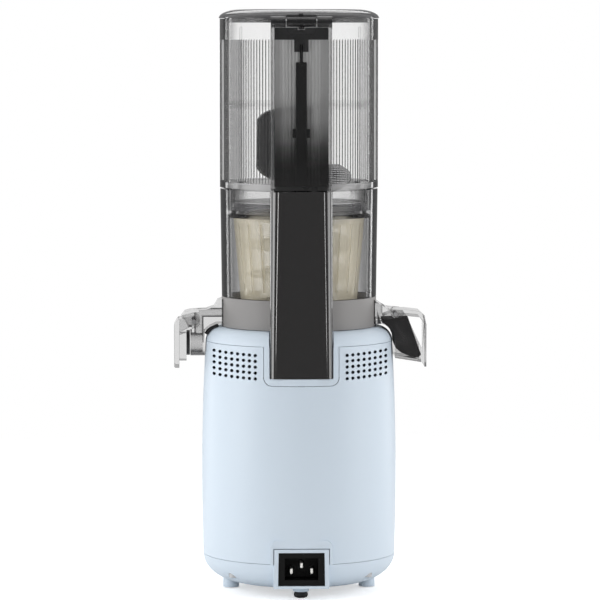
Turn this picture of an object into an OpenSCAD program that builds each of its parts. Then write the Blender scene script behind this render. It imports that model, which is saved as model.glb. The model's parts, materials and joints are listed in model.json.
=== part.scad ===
// Cold press juicer. Millimetres, +Z up, the origin on the table under the body's axis.
// +Y is the back with the interlock column and the power inlet, +X the juice spout,
// -X the pulp outlet and -Y the front with the control knob.

/* [Body] */
// How far the motor body stands out past the chamber's band, at its widest
body_proud = 14; // [12:0.5:16]
// Height of the body's flat top deck
body_h = 184.6; // [182:0.2:188]
// Height at which the barrel is widest
widest_z = 78; // [70:1:90]
// Radius of the barrel's slow bulge
bulge_r = 1750; // [1500:50:3000]
// Radius of the rounded shoulder
shoulder_r = 10.4; // [9.5:0.1:11]
// Wall of the moulded housings
wall = 2.6; // [2:0.1:3]
// Height of the seam between bottom cover and main shell
base_seam = 25.3; // [24:0.1:27]
// Height of the top cover, from its seam up to the deck
cover_h = 9.8; // [9.4:0.1:10.3]

/* [Vents] */
// Diameter of one vent hole
vent_d = 2.3; // [1.8:0.1:2.8]
// Spacing of the vent holes
vent_pitch = 4; // [3.6:0.1:4.2]
// Columns of holes in each of the two groups
vent_columns = 8; // [4:1:8]
// Rows of holes
vent_rows = 5; // [3:1:5]
// Distance of the innermost column from the middle
vent_inner_x = 31.5; // [31:0.1:33]
// Depth of the lowest row below the deck
vent_drop = 31.8; // [29.6:0.1:34.6]

/* [Base and feet] */
// Underside of the bottom cover
floor_z = 5.8; // [5.5:0.1:7]
// Distance of the feet from the body's widest line
foot_inset = 20.3; // [19:0.1:24]
// Radius of a rubber foot
foot_r = 5; // [4:0.1:6]

/* [Power inlet] */
// Width of the inlet's face
inlet_w = 32; // [30:0.1:33]
// Height of the inlet's face
inlet_h = 23; // [22:0.1:24]
// Height of the inlet's middle
inlet_z = 22.3; // [22:0.1:23]
// Width of the flat tongue round the inlet
tongue_w = 38.4; // [37:0.1:40]
// Top of that tongue
tongue_top = 36.5; // [36:0.1:38]
// Spacing of the two outer pins
pin_spacing = 14; // [13:0.1:15]

/* [Interlock column] */
// Width of the chamber's column
column_w = 43; // [42:0.2:44]
// How far the column stands behind the hopper's wall
column_proud = 10.3; // [9.8:0.1:10.8]
// How far the column reaches down below the deck
column_drop = 31.3; // [29.6:0.1:31.8]
// Wall of the columns
column_wall = 2.5; // [2:0.1:3]
// Width of the interlock rods
rod_w = 7.4; // [6:0.1:9]
// Depth of the interlock rods
rod_t = 5; // [4.4:0.1:5.2]
// Travel of the interlock rods
rod_travel = 1.5; // [1:0.1:1.5]

/* [Chamber] */
// Outer radius of the chamber's frosted base band
band_r = 54; // [53.2:0.1:54]
// How much wider the chamber is at its rim than at the band
chamber_flare = 1; // [0.4:0.1:1.6]
// Height of the frosted base band
band_h = 20.8; // [20:0.1:22]
// Height of the clear chamber above the band
chamber_h = 75.3; // [74:0.1:80]
// Wall of the chamber
chamber_wall = 2.6; // [2.2:0.1:2.8]

/* [Strainer and auger] */
// Room between the top of the strainer's cone and the chamber's outside
strainer_room = 9; // [8.6:0.1:10]
// How much narrower the strainer's cone is at its foot
strainer_taper = 6.4; // [5.5:0.1:7.5]
// Wall of the strainer
strainer_wall = 2.6; // [2.2:0.1:3]
// Slots round the strainer
strainer_slots = 24; // [12:2:30]
// Width across the flats of the drive hexagon
hex_flats = 12; // [10:0.1:13]
// Turns of each auger flight
flight_turns = 1.6; // [1:0.1:2]
// Thickness of an auger flight
flight_t = 3.2; // [2.4:0.1:4]

/* [Hopper and lid] */
// How far the hopper stands out past the chamber's rim
hopper_proud = 0.2; // [0:0.1:0.6]
// Height of the hopper
hopper_h = 116.9; // [110:0.1:125]
// Wall of the hopper
hopper_wall = 2.5; // [2:0.1:2.8]
// Vertical flutes round the hopper
flutes = 144; // [72:1:180]
// Depth of a flute
flute_depth = 0.5; // [0.3:0.1:0.8]
// Height of the smooth band under the hopper's rim
rim_band = 14.6; // [13:0.1:18]
// Width of the hopper's column
hopper_column_w = 41.8; // [41:0.2:43]
// Thickness of the lid
lid_h = 6.3; // [5.5:0.1:8]
// How far the lid stands out past the hopper
lid_proud = 0.7; // [0.2:0.1:1.3]
// Radius of the hinge knuckles
knuckle_r = 3.5; // [3.2:0.1:3.7]
// Radius of the hinge pin
hinge_pin_r = 1.5; // [1:0.1:1.8]

/* [Outlets] */
// How far the juice cap's lever stands out past the body
juice_proud = 19.3; // [19:0.1:20]
// How far the pulp cap's outer wall stands out past the body
pulp_proud = 20.5; // [20.2:0.1:21]
// Width of the juice spout
spout_w = 21; // [20:0.2:23]
// Width of the pulp chute
chute_w = 31; // [29:0.2:33]
// Bore of the juice nozzle
nozzle_bore = 14; // [12:0.2:15]
// Radius of the outlet caps' pins
cap_pin_r = 1.5; // [1.2:0.1:1.8]

/* [Drive] */
// Clearance between the gearbox and the body's widest line
gearbox_clear = 6.25; // [6:0.05:8]
// Teeth of the pinions
pinion_teeth = 10; // [10:1:12]
// Teeth of the wheels
wheel_teeth = 40; // [38:1:40]
// Face width of the gears
gear_face = 12; // [10:0.5:12]
// Radius of the motor can
motor_r = 40; // [36:0.5:42]
// Length of the motor can
motor_h = 64; // [60:0.5:66]
// Radius of the motor shaft
motor_shaft_r = 4; // [3:0.1:4.4]
// Radius of the output shaft
output_shaft_r = 7; // [6.5:0.1:7.5]

/* [Control knob] */
// Radius of the knob
knob_r = 17; // [14:0.5:18]
// Depth of the knob's axis below the gearbox
knob_drop = 20; // [12:1:27]
// How far the knob stands proud of the barrel
knob_proud = 2; // [1:0.1:2.4]

/* [Hidden] */
$fn = 64;

// Clearances: between bodies, at seams, at a running fit and past a cut
gap = 0.3;
seam = 0.12;
run = 0.05;
over = 1;

// The radii, from the chamber's band outwards
chamber_r = band_r + chamber_flare;
strainer_top_r = chamber_r - strainer_room;
strainer_foot_r = strainer_top_r - strainer_taper;
hopper_r = chamber_r + hopper_proud;
lid_r = hopper_r + lid_proud;
body_r = band_r + body_proud;
foot_circle_r = body_r - foot_inset;

// The stack of heights, from the deck up
band_z = body_h + gap;
band_top = band_z + band_h;
chamber_top = band_top + chamber_h;
hopper_z = chamber_top + 1;
hopper_top = hopper_z + hopper_h;
lid_z = hopper_top + gap;
cover_seam = body_h - cover_h;
vent_low_z = body_h - vent_drop;
column_z = body_h - column_drop;

// The body's outline
shoulder_x = barrel(body_h - shoulder_r) - shoulder_r;
shoulder_z = body_h - shoulder_r;
function barrel(z) = body_r - pow(z - widest_z, 2) / (2 * bulge_r);
function arc(cx, cz, r, from, to, steps) =
    [for (i = [0 : steps]) let (a = from + (to - from) * i / steps) [cx + r * cos(a), cz + r * sin(a)]];
function barrel_points(z0, z1, inset, steps = 4) =
    [for (i = [0 : steps]) let (z = z0 + (z1 - z0) * i / steps) [barrel(z) - inset, z]];

// The notch, its lining and the rods' line
notch_z = column_z - gap;
notch_y = band_r - 1.4;
bezel = 3.2;
lining = 2.5;
column_y = hopper_r + column_proud;
rod_y = column_y - 5.9;
hinge_y = rod_y + 1;
hinge_z = hopper_top - 2;
knuckle_x = 10.4;
cam_reach = knuckle_r + rod_travel;

// The gearbox and motor, hung under the deck
gearbox_wall = 4.5;
gear_module = (body_r - gearbox_clear - gearbox_wall) / (pinion_teeth / 2 + wheel_teeth + 0.8);
gear_distance = gear_module * (pinion_teeth + wheel_teeth) / 2;
wheel_tip_r = gear_module * (wheel_teeth / 2 + 0.8);
plate_t = 4;
gearbox_z = body_h - 72.6;
knob_z = gearbox_z - knob_drop;
stage_gap = 1.5;
first_gear_z = gearbox_z + plate_t + 4;
second_gear_z = first_gear_z + gear_face + stage_gap;
gearbox_top = second_gear_z + gear_face + 3;
gearbox_r = wheel_tip_r + gearbox_wall;
bush_top = body_h - wall - 14;
motor_z = gearbox_z - motor_h;
fan_z = motor_z - 11;
counter_pin_r = 3;

// The auger's hub in the chamber's floor
floor_top = band_z + 5.1;
hub_r = hex_flats / 2 + 3.6;
boss_r = hub_r + 3;
seal_h = 3;
socket_top = body_h + 31;
hex_r = hex_flats / 2 / cos(30);
auger_z = floor_top + 8;
strainer_rim_z = chamber_top - 14.7;
strainer_rim_h = 5.5;
cone_top = strainer_rim_z - 3.2;
hopper_floor_r = hopper_r - 12.2;
auger_top = chamber_top - 6;
blade_top = chamber_top + 57;

// The outlets, measured from the deck
nozzle_z = body_h - 11.7;
nozzle_r = nozzle_bore / 2 + 2.1;
juice_reach = body_r + juice_proud;
pulp_reach = body_r + pulp_proud;
nozzle_end = juice_reach - 11.3;
cap_pivot_x = juice_reach - 13.8;
cap_pivot_z = body_h + 3.9;
pulp_pivot_x = body_r - 1;
pulp_pivot_z = body_h + 9;

module tube(r_out, r_in, z0, z1) {
    translate([0, 0, z0]) difference() {
        cylinder(r = r_out, h = z1 - z0);
        translate([0, 0, -over]) cylinder(r = r_in, h = z1 - z0 + 2 * over);
    }
}

// A cylinder along Y from y0 to y1
module bar_y(r, y0, y1, x = 0, z = 0) {
    translate([x, y0, z]) rotate([-90, 0, 0]) cylinder(r = r, h = y1 - y0);
}

// A cylinder along X from x0 to x1
module bar_x(r, x0, x1, y = 0, z = 0) {
    translate([x0, y, z]) rotate([0, 90, 0]) cylinder(r = r, h = x1 - x0);
}

// A box from two corners
module box(a, b) {
    translate(a) cube(b - a);
}

// A profile in the X-Z plane given a width along Y, centred on the axis
module slab_y(w) {
    translate([0, w / 2, 0]) rotate([90, 0, 0]) linear_extrude(w) children();
}

// A rectangle with round corners
module round_rect(w, h, r) {
    square([w - 2 * r, h], center = true);
    square([w, h - 2 * r], center = true);
    for (x = [-1, 1], y = [-1, 1]) translate([x * (w / 2 - r), y * (h / 2 - r)]) circle(r);
}

// A U standing open at the top, its foot at z0 with round corners
module u_shape(half_w, z0, z1, r) {
    translate([-half_w, z0 + r]) square([2 * half_w, z1 - z0 - r]);
    translate([-half_w + r, z0]) square([2 * (half_w - r), r + over]);
    for (x = [-1, 1]) translate([x * (half_w - r), z0 + r]) circle(r);
}

// Everything inside the body's outer surface, drawn in by an inset
module body_solid(inset = 0) {
    rotate_extrude() polygon(concat([[0, base_seam]], barrel_points(base_seam, shoulder_z, inset),
        arc(shoulder_x, shoulder_z, shoulder_r - inset, 8, 90, 8), [[0, body_h - inset]]));
}

// ---- Housings ----

screw_circle_r = body_r - wall - 5;
screw_angles = [40, 140, 220, 320];
screw_r = 1.6;
screw_boss_r = 5.2;
knob_depth = 3.5;
knob_shaft_r = 3;
knob_seat_y = -body_r + knob_depth;
board_y = knob_seat_y + wall + 5.9;
board_high_z = gearbox_z - 2;
board_low_z = knob_z - 32;
boss_top = tongue_top + 5.5;
cover_u_w = column_w + 2.4 + 2 * bezel;
cover_u_z = notch_z - lining - 2.3;

module vent_holes() {
    for (side = [-1, 1], i = [0 : vent_columns - 1], j = [0 : vent_rows - 1])
        bar_y(vent_d / 2, 0, body_r, side * (vent_inner_x + i * vent_pitch),
            vent_low_z + 0.15 * i + j * vent_pitch);
}

// The round-topped boss that frames the inlet's tongue at the back of the main shell
module inlet_boss() {
    intersection() {
        box([-body_r, body_r - 9, base_seam + seam], [body_r, body_r - 1.2, boss_top]);
        slab_y(4 * body_r) translate([0, boss_top - 40]) round_rect(tongue_w + 4.6, 80, 5);
    }
}

module shell_wall() {
    intersection() {
        difference() {
            body_solid();
            translate([0, 0, -over]) body_solid(wall);
        }
        translate([0, 0, base_seam + seam]) cylinder(r = 2 * body_r, h = cover_seam - base_seam - 2 * seam);
    }
}

module main_shell() {
    color([0.83, 0.88, 0.93]) difference() {
        union() {
            shell_wall();
            inlet_boss();
            intersection() {
                body_solid(wall / 2);
                union() {
                    for (a = screw_angles) rotate(a) translate([screw_circle_r, 0, base_seam + over])
                        cylinder(r = screw_boss_r, h = 30);
                    bar_y(knob_r + 4, -body_r, knob_seat_y + wall, 0, knob_z);
                    for (x = [-20, 20], z = [board_low_z + 5, board_high_z - 5]) bar_y(3.5, -body_r, board_y - seam, x, z);
                }
            }
        }
        box([-tongue_w / 2 - seam, 0, 0], [tongue_w / 2 + seam, 2 * body_r, tongue_top + seam]);
        translate([0, body_r, 0]) slab_y(2 * body_r)
            u_shape(cover_u_w / 2 + seam, cover_u_z - seam, body_h + over, 5.6);
        vent_holes();
        bar_y(knob_r + 1, -2 * body_r, knob_seat_y, 0, knob_z);
        bar_y(knob_shaft_r + run, -body_r, board_y, 0, knob_z);
        for (a = screw_angles) rotate(a) translate([screw_circle_r, 0, 0]) cylinder(r = screw_r, h = base_seam + 16);
    }
}

// The deck with its rounded shoulder, and the lining of the notch that the column stands in
module top_cover() {
    color([0.83, 0.88, 0.93]) difference() {
        union() {
            intersection() {
                difference() {
                    body_solid();
                    translate([0, 0, -over]) cylinder(r = shoulder_x + 6, h = body_h - wall + over);
                    translate([0, 0, -over]) body_solid(wall);
                }
                translate([0, 0, cover_seam]) cylinder(r = 2 * body_r, h = body_r);
            }
            intersection() {
                body_solid();
                translate([0, notch_y - lining + body_r, 0]) slab_y(2 * body_r)
                    u_shape(cover_u_w / 2, cover_u_z, body_h + over, 5.6);
            }
            tube(output_shaft_r + 7.5, output_shaft_r + 4, bush_top, body_h - wall);
            for (a = tower_angles) rotate(a) translate([tower_x, 0, gearbox_top])
                cylinder(r = 4, h = body_h - wall - gearbox_top);
            box([-9, notch_y - lining, switch_z], [9, notch_y, cover_u_z + over]);
        }
        translate([0, body_r + notch_y, 0]) slab_y(2 * body_r)
            u_shape(column_w / 2 + 0.6, notch_z, body_h + 2 * over, 0.8);
        bar_z(plunger_r + gap, cover_u_z - over, notch_z + over, 0, rod_y);
        bar_z(output_shaft_r + 4, bush_top - over, body_h + over);
    }
}

module bar_z(r, z0, z1, x = 0, y = 0) {
    translate([x, y, z0]) cylinder(r = r, h = z1 - z0);
}

tower_angles = [0, 180];
tower_x = gearbox_r - 6;

bowl_r = barrel(base_seam);
bowl_curve = base_seam - floor_z;
function bowl_points(inset) = [for (i = [0 : 10]) let (a = 90 * i / 10)
    [bowl_r - 27 + (27 - inset) * sin(a), floor_z + inset + (bowl_curve - inset) * (1 - cos(a))]];

module bowl_solid(inset) {
    rotate_extrude() polygon(concat([[0, floor_z + inset]], bowl_points(inset), [[0, base_seam]]));
}

inlet_half_w = inlet_w / 2 + 0.15;
inlet_face_y = body_r - 1;
tongue_bottom = inlet_z - inlet_h / 2 - 2;

// A bowl with the inlet's tongue, four legs and the bosses for the housing screws
module bottom_cover() {
    color([0.83, 0.88, 0.93]) difference() {
        union() {
            difference() {
                bowl_solid(0);
                translate([0, 0, 0.01]) bowl_solid(wall);
            }
            intersection() {
                union() {
                    bowl_solid(wall / 2);
                    box([-body_r, -body_r, base_seam - over], [body_r, body_r, base_seam]);
                }
                for (a = screw_angles) rotate(a) bar_z(screw_boss_r, floor_z, base_seam, screw_circle_r);
            }
            box([-tongue_w / 2, inlet_face_y - 17, tongue_bottom], [tongue_w / 2, inlet_face_y, tongue_top]);
            for (a = [0, 180]) rotate(a) bar_z(foot_r + 0.6, 0.6, floor_z + 3, foot_circle_r);
            for (a = [90, 270]) rotate(a) bar_z(foot_r + 0.6, foot_h, floor_z + 3, foot_circle_r);
        }
        box([-inlet_half_w, inlet_face_y - 30, inlet_z - inlet_h / 2 - 0.15],
            [inlet_half_w, inlet_face_y + over, inlet_z + inlet_h / 2 + 0.15]);
        for (a = [0, 180]) rotate(a) bar_z(foot_r - 1, 0, foot_h, foot_circle_r);
        for (a = screw_angles) rotate(a) {
            bar_z(screw_r, 0, base_seam + over, screw_circle_r);
            bar_z(screw_r * 2.2, 0, screw_head_z, screw_circle_r);
        }
    }
}

foot_h = 4.5;
screw_head_z = 16;

module rubber_feet() {
    color([0.08, 0.08, 0.08]) for (a = [0 : 90 : 270]) rotate(a)
        bar_z(a % 180 == 0 ? foot_r - 1 : foot_r, 0, foot_h, foot_circle_r);
}

module housing_screws() {
    color("silver") for (a = screw_angles) rotate(a) {
        bar_z(screw_r, screw_head_z - 0.5, base_seam + 15, screw_circle_r);
        bar_z(screw_r * 2, screw_head_z - 3, screw_head_z, screw_circle_r);
    }
}

// ---- Power inlet ----

socket_depth = 15;

module power_inlet() {
    recess_w = inlet_w - 9;
    recess_h = inlet_h - 8;
    color([0.06, 0.06, 0.06]) difference() {
        union() {
            box([-inlet_w / 2, inlet_face_y - 3.5, inlet_z - inlet_h / 2], [inlet_w / 2, inlet_face_y - 1, inlet_z + inlet_h / 2]);
            box([-recess_w / 2 - 2, inlet_face_y - 20, inlet_z - recess_h / 2 - 2],
                [recess_w / 2 + 2, inlet_face_y - 3, inlet_z + recess_h / 2 + 2]);
        }
        box([-recess_w / 2, inlet_face_y - 1 - socket_depth, inlet_z - recess_h / 2],
            [recess_w / 2, inlet_face_y, inlet_z + recess_h / 2]);
    }
}

// Three flat pins, the earth pin above the other two
module inlet_pins() {
    color("silver") for (p = [[-pin_spacing / 2, -1.5], [0, 2.5], [pin_spacing / 2, -1.5]])
        translate([p[0] - 1, inlet_face_y - 1 - socket_depth, inlet_z + p[1] - 2]) cube([2, socket_depth - 1, 4]);
}

// ---- Motor ----

module motor_can() {
    color([0.6, 0.6, 0.62]) difference() {
        bar_z(motor_r, motor_z, gearbox_z);
        bar_z(motor_r - 2, motor_z + 3, gearbox_z - 3);
        bar_z(bush_r, motor_z - over, gearbox_z + over);
        for (a = [0 : 60 : 300]) rotate(a + 30) bar_z(5, motor_z - over, motor_z + 3 + over, motor_r - 14);
    }
}

bush_r = motor_shaft_r + 4;
stator_bore = 22.6;

module stator_core() {
    color([0.55, 0.35, 0.2]) difference() {
        union() {
            bar_z(motor_r - 2.02, motor_z + 14, gearbox_z - 14);
            tube(motor_r - 5, stator_bore + 3, motor_z + 9, gearbox_z - 9);
        }
        bar_z(stator_bore, motor_z, gearbox_z);
    }
}

module motor_bushes() {
    color([0.72, 0.55, 0.3]) {
        tube(bush_r, motor_shaft_r + run, motor_z - 1, motor_z + 5);
        tube(bush_r, motor_shaft_r + run, gearbox_z - 5, gearbox_z);
    }
}

// ---- Gearbox ----

// Tooth half-angle at radius r, for an involute tooth thinned by a little backlash
pressure_angle = 20;
backlash = 0.16;
function involute(base, r) = r <= base ? 0 : sqrt(pow(r / base, 2) - 1) * 180 / PI - acos(base / r);
function half_tooth(teeth, r) =
    let (pitch = gear_module * teeth / 2, base = pitch * cos(pressure_angle))
    90 / teeth - backlash / pitch * 180 / PI + involute(base, pitch) - involute(base, max(base, r));
function gear_points(teeth, root_r, tip_r) =
    let (steps = 4, base = max(root_r, gear_module * teeth / 2 * cos(pressure_angle)))
    let (radii = concat([root_r], [for (k = [0 : steps]) base + (tip_r - base) * k / steps]))
    [for (i = [0 : teeth - 1], side = [-1, 1], k = [0 : steps + 1])
        let (r = radii[side < 0 ? k : steps + 1 - k], a = 360 * i / teeth + side * half_tooth(teeth, r))
        [r * cos(a), r * sin(a)]];

module wheel(z) {
    translate([0, 0, z]) linear_extrude(gear_face)
        polygon(gear_points(wheel_teeth, gear_module * (wheel_teeth / 2 - 1.3), wheel_tip_r));
}

module pinion(z, h) {
    translate([0, 0, z]) linear_extrude(h)
        polygon(gear_points(pinion_teeth, gear_module * (pinion_teeth / 2 - 1.3), gear_module * (pinion_teeth / 2 + 1)));
}

module gearbox_plan(r) {
    circle(r);
    translate([0, -gear_distance]) circle(r);
    translate([-r, -gear_distance]) square([2 * r, gear_distance]);
}

module gearbox_base() {
    color([0.3, 0.3, 0.32]) difference() {
        translate([0, 0, gearbox_z]) linear_extrude(plate_t) difference() {
            gearbox_plan(gearbox_r);
            circle(motor_shaft_r + 2);
            translate([0, -gear_distance]) circle(counter_pin_r);
        }
    }
}

module gearbox_cover() {
    color([0.3, 0.3, 0.32]) difference() {
        union() {
            translate([0, 0, gearbox_z + plate_t]) linear_extrude(gearbox_top - gearbox_z - plate_t)
                gearbox_plan(gearbox_r);
            bar_z(output_shaft_r + 7.5, gearbox_top - over, bush_top);
        }
        translate([0, 0, gearbox_z]) linear_extrude(gearbox_top - 3 - gearbox_z) gearbox_plan(gearbox_r - 2.6);
        bar_z(output_shaft_r + 4, gearbox_z, bush_top + over);
        bar_z(counter_pin_r, gearbox_z, gearbox_top - 1, 0, -gear_distance);
    }
}

module counter_shaft() {
    color("silver") bar_z(counter_pin_r, gearbox_z, gearbox_top - 1, 0, -gear_distance);
}

module output_bush() {
    color([0.72, 0.55, 0.3]) tube(output_shaft_r + 4, output_shaft_r + run, gearbox_top - 3, bush_top);
}

module shaft_seal() {
    color([0.1, 0.1, 0.1]) tube(output_shaft_r + 4, output_shaft_r + run, body_h - wall - 5, body_h);
}

module motor_rotor() {
    color([0.5, 0.5, 0.52]) {
        bar_z(motor_shaft_r, fan_z, first_gear_z);
        bar_z(stator_bore - 0.6, motor_z + 14, gearbox_z - 14);
        pinion(first_gear_z - 1, gear_face + 1);
    }
}

module cooling_fan() {
    color([0.2, 0.2, 0.22]) difference() {
        union() {
            bar_z(8, fan_z, fan_z + 8);
            bar_z(32, fan_z, fan_z + 1.5);
            for (a = [0 : 40 : 320]) rotate(a) box([6, -0.8, fan_z], [32, 0.8, fan_z + 8]);
        }
        bar_z(motor_shaft_r, fan_z - over, fan_z + 8 + over);
    }
}

module counter_gear() {
    color([0.9, 0.88, 0.8]) translate([0, -gear_distance, 0]) difference() {
        union() {
            wheel(first_gear_z);
            pinion(first_gear_z + gear_face - 0.5, stage_gap + gear_face + 0.5);
        }
        bar_z(counter_pin_r + run, gearbox_z, gearbox_top);
    }
}

module output_gear() {
    color([0.9, 0.88, 0.8]) difference() {
        wheel(second_gear_z);
        bar_z(output_shaft_r, gearbox_z, gearbox_top);
    }
}

module drive_shaft() {
    color("silver") {
        bar_z(output_shaft_r, second_gear_z, body_h + 2);
        translate([0, 0, body_h + 1.5]) cylinder(r = hex_r, h = socket_top - body_h - 2.5, $fn = 6);
    }
}

// ---- Control and interlock ----

switch_z = column_z - 35.3;
switch_h = 14;
plunger_r = 2.5;
plunger_top = column_z + 1.6;
plunger_foot = switch_z + switch_h + 0.3;

module control_board() {
    color([0.1, 0.35, 0.2]) box([-26, board_y, board_low_z], [26, board_y + 1.6, board_high_z]);
}

module speed_switch() {
    color([0.15, 0.15, 0.16]) difference() {
        box([-10, knob_seat_y + wall + seam, knob_z - 10], [10, board_y, knob_z + 10]);
        bar_y(knob_shaft_r + run, -body_r, board_y - 1.5, 0, knob_z);
    }
}

module interlock_switch() {
    color([0.12, 0.12, 0.12]) {
        box([-7, notch_y, switch_z], [7, rod_y + 2.5, switch_z + switch_h - 2]);
        box([-2, rod_y - 1.5, switch_z + switch_h - 2], [2, rod_y + 1.5, switch_z + switch_h]);
    }
}

module interlock_plunger() {
    color([0.2, 0.2, 0.22]) {
        bar_z(plunger_r, plunger_foot, plunger_top, 0, rod_y);
        bar_z(plunger_r + 1.6, cover_u_z - 4.5, cover_u_z - 2, 0, rod_y);
    }
}

// A wire helix between the switch and the plunger's collar
module plunger_spring() {
    wire_r = 0.4;
    coil_r = plunger_r + 0.9;
    z0 = switch_z + switch_h - 2 + wire_r;
    z1 = cover_u_z - 4.5 - wire_r;
    turns = 5;
    color("silver") translate([0, rod_y, 0])
        helix_tube(coil_r, wire_r, z0, z1, turns, 10 * turns, 6);
}

module helix_tube(coil_r, wire_r, z0, z1, turns, steps, sides) {
    rings = [for (i = [0 : steps], k = [0 : sides - 1])
        let (a = 360 * turns * i / steps, b = 360 * k / sides, r = coil_r + wire_r * cos(b))
        [r * cos(a), r * sin(a), z0 + (z1 - z0) * i / steps + wire_r * sin(b)]];
    swept(rings, steps, sides);
}

// A closed solid from rings of points, capped at both ends
module swept(rings, steps, sides) {
    walls = [for (i = [0 : steps - 1], k = [0 : sides - 1]) let (n = (k + 1) % sides)
        each [[i * sides + k, (i + 1) * sides + n, (i + 1) * sides + k], [i * sides + k, i * sides + n, (i + 1) * sides + n]]];
    ends = [for (k = [1 : sides - 2]) each [[0, k + 1, k], [steps * sides, steps * sides + k, steps * sides + k + 1]]];
    polyhedron(rings, concat(walls, ends));
}

module control_knob() {
    color([0.75, 0.78, 0.8]) {
        bar_y(knob_shaft_r, knob_seat_y - over, board_y - 2, 0, knob_z);
        bar_y(knob_r, -body_r - knob_proud + 1.5, knob_seat_y - gap, 0, knob_z);
        intersection() {
            bar_y(knob_r - 1.5, -body_r - knob_proud, knob_seat_y - over, 0, knob_z);
            box([-3, -2 * body_r, knob_z - knob_r], [3, 0, knob_z + knob_r]);
        }
    }
}

// ---- Chamber ----

function chamber_outer(z) = band_r + (chamber_r - band_r) * (z - band_top) / chamber_h;
lug_z = chamber_top - 8.6;
lug_h = 3;
lug_angles = [90, 210, 330];
spigot_r = chamber_r - chamber_wall - 2;

module sector(r_in, r_out, z0, z1, mid, span) {
    rotate([0, 0, mid - span / 2]) rotate_extrude(angle = span)
        translate([r_in, z0]) square([r_out - r_in, z1 - z0]);
}

// The clear chamber, with its ledge for the strainer and the bayonet ledges
module juice_chamber() {
    color([0.55, 0.57, 0.6, 0.5]) {
        rotate_extrude() polygon([[band_r - chamber_wall, band_top], [band_r, band_top], [chamber_r, chamber_top],
            [chamber_r - chamber_wall, chamber_top], [chamber_r - chamber_wall, strainer_rim_z],
            [strainer_top_r + 1.2, strainer_rim_z], [strainer_top_r + 1.2, strainer_rim_z - 2.5],
            [chamber_outer(strainer_rim_z) - chamber_wall, strainer_rim_z - 5]]);
        for (a = lug_angles) sector(spigot_r + 0.4, chamber_r - chamber_wall + 0.5, lug_z + lug_h + gap, lug_z + lug_h + 3, a, 24);
    }
}

juice_port_h = 8;
pulp_port_h = 11;

module chamber_base() {
    color([0.58, 0.57, 0.57]) difference() {
        union() {
            tube(band_r, band_r - chamber_wall, band_z, band_top);
            tube(band_r - 1, boss_r, floor_top - 3, floor_top);
            tube(boss_r + 2.5, boss_r, band_z, floor_top + seal_h + 3);
        }
        box([band_r / 2 + 16, -4.5, floor_top], [2 * band_r, 4.5, floor_top + juice_port_h]);
        box([-2 * band_r, -chute_w / 2 + 4, floor_top], [-band_r / 2 - 16, chute_w / 2 - 4, floor_top + pulp_port_h]);
    }
}

module chamber_seal() {
    color([0.12, 0.12, 0.12]) tube(boss_r, hub_r + run, floor_top, floor_top + seal_h);
}

// A plan of the column, from its rear face forward to the chamber
module column_plan(w, y0, y1, r) {
    translate([0, (y0 + y1) / 2]) round_rect(w, y1 - y0, r);
}

module chamber_column() {
    foot_front = notch_y + 0.6;
    color([0.1, 0.1, 0.11]) difference() {
        union() {
            difference() {
                translate([0, 0, band_z]) linear_extrude(chamber_top - band_z)
                    column_plan(column_w, chamber_r - 12, column_y, 4);
                rotate_extrude() polygon([[0, 0], [band_r + run, 0], [band_r + run, band_top],
                    [chamber_r + run, chamber_top], [chamber_r + run, chamber_top + over], [0, chamber_top + over]]);
            }
            translate([0, 0, column_z]) linear_extrude(band_z - column_z)
                column_plan(column_w, foot_front, column_y, 4);
        }
        box([-column_w / 2 + column_wall, chamber_r + 1.2, column_z + column_wall],
            [column_w / 2 - column_wall, column_y - column_wall, chamber_top - column_wall]);
        box([-rod_w / 2 - 0.3, rod_y - rod_t / 2 - 0.3, column_z - over],
            [rod_w / 2 + 0.3, rod_y + rod_t / 2 + 0.3, chamber_top + over]);
    }
}

// The strainer's cone, its rim, foot and slots
module strainer() {
    foot_z = floor_top;
    color([0.83, 0.72, 0.45, 0.8]) difference() {
        rotate_extrude() polygon([[strainer_foot_r - strainer_wall, foot_z], [strainer_foot_r, foot_z],
            [strainer_top_r, cone_top], [strainer_top_r, strainer_rim_z], [spigot_r, strainer_rim_z],
            [spigot_r, strainer_rim_z + strainer_rim_h], [strainer_top_r - strainer_wall, strainer_rim_z + strainer_rim_h],
            [strainer_top_r - strainer_wall, cone_top]]);
        for (i = [0 : strainer_slots - 1]) rotate(360 * (i + 0.5) / strainer_slots)
            box([strainer_foot_r - 8, -0.5, band_top + 4], [strainer_top_r + 4, 0.5, cone_top - 6]);
        box([-2 * band_r, -chute_w / 2 + 6, floor_top - over], [-band_r / 2, chute_w / 2 - 6, floor_top + pulp_port_h - 2]);
    }
}

// ---- Auger ----

function strainer_inner(z) = strainer_foot_r - strainer_wall
    + (strainer_top_r - strainer_foot_r) * (z - floor_top) / (cone_top - floor_top);

// A helical blade: rings of four points between an inner and an outer radius
module blade(z0, z1, r_in, r_out0, r_out1, t, turns, start, steps) {
    rings = [for (i = [0 : steps])
        let (u = i / steps, a = start + 360 * turns * u, z = z0 + (z1 - z0) * u, r = r_out0 + (r_out1 - r_out0) * u)
        each [[r_in * cos(a), r_in * sin(a), z], [r * cos(a), r * sin(a), z + t * 0.25],
            [r * cos(a), r * sin(a), z + t * 0.75], [r_in * cos(a), r_in * sin(a), z + t]]];
    swept(rings, steps, 4);
}

core_foot_r = strainer_inner(auger_z) - 3;
core_waist_r = core_foot_r - 6;
core_top_r = 13;

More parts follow.
